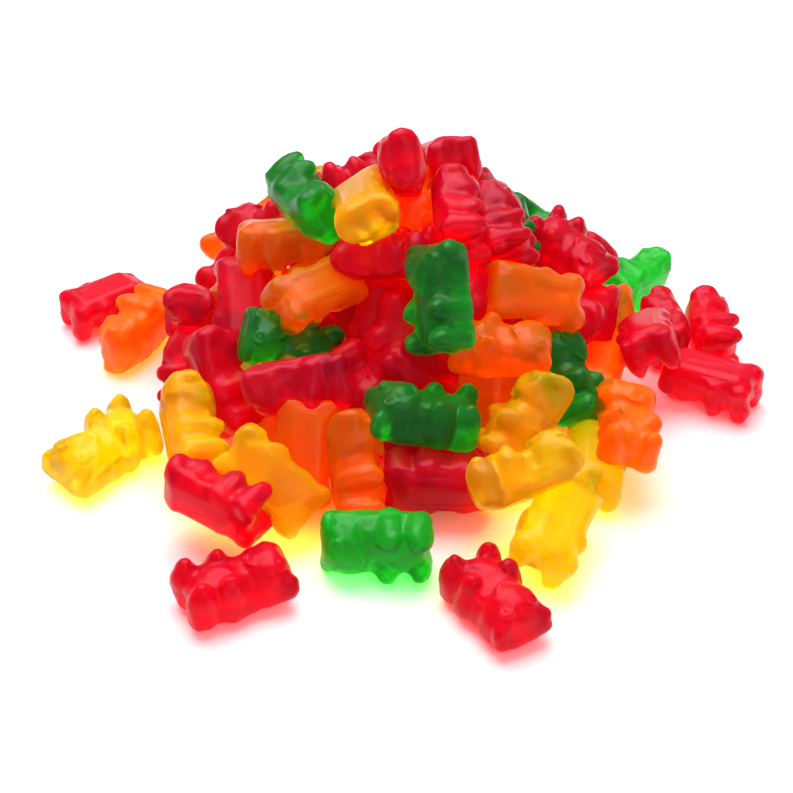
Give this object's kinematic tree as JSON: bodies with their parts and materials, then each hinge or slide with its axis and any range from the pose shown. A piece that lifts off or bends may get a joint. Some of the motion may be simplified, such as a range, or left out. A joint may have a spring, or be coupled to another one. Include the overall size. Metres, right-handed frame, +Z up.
{
  "type": "gummy bears",
  "caption": "Loose heap of moulded fruit gummy bears in red, orange, yellow and green, with a few bears lying clear around its foot.",
  "frame": {"origin": "on the heap's flat underside, where the middle of the pictured view meets the surface the sweets lie on", "axes": "+Z up, -Y towards the front of the heap, +X to its right"},
  "size_m": [0.142, 0.1479, 0.0592],
  "materials": {
    "gummy_red": "satin translucent gelatine",
    "gummy_orange": "satin translucent gelatine",
    "gummy_yellow": "satin translucent gelatine",
    "gummy_green": "satin translucent gelatine"
  },
  "bodies": {
    "root": {"heap": "gummy_red", "bear_front_right": "gummy_red", "bear_front_left": "gummy_red", "bear_front": "gummy_green", "bear_left": "gummy_yellow", "bear_back_left": "gummy_red", "bear_middle_left": "gummy_orange", "bear_right": "gummy_red", "bear_upper_right": "gummy_green", "bear_back_right": "gummy_red", "bear_far_right": "gummy_red"}
  },
  "joints": []
}
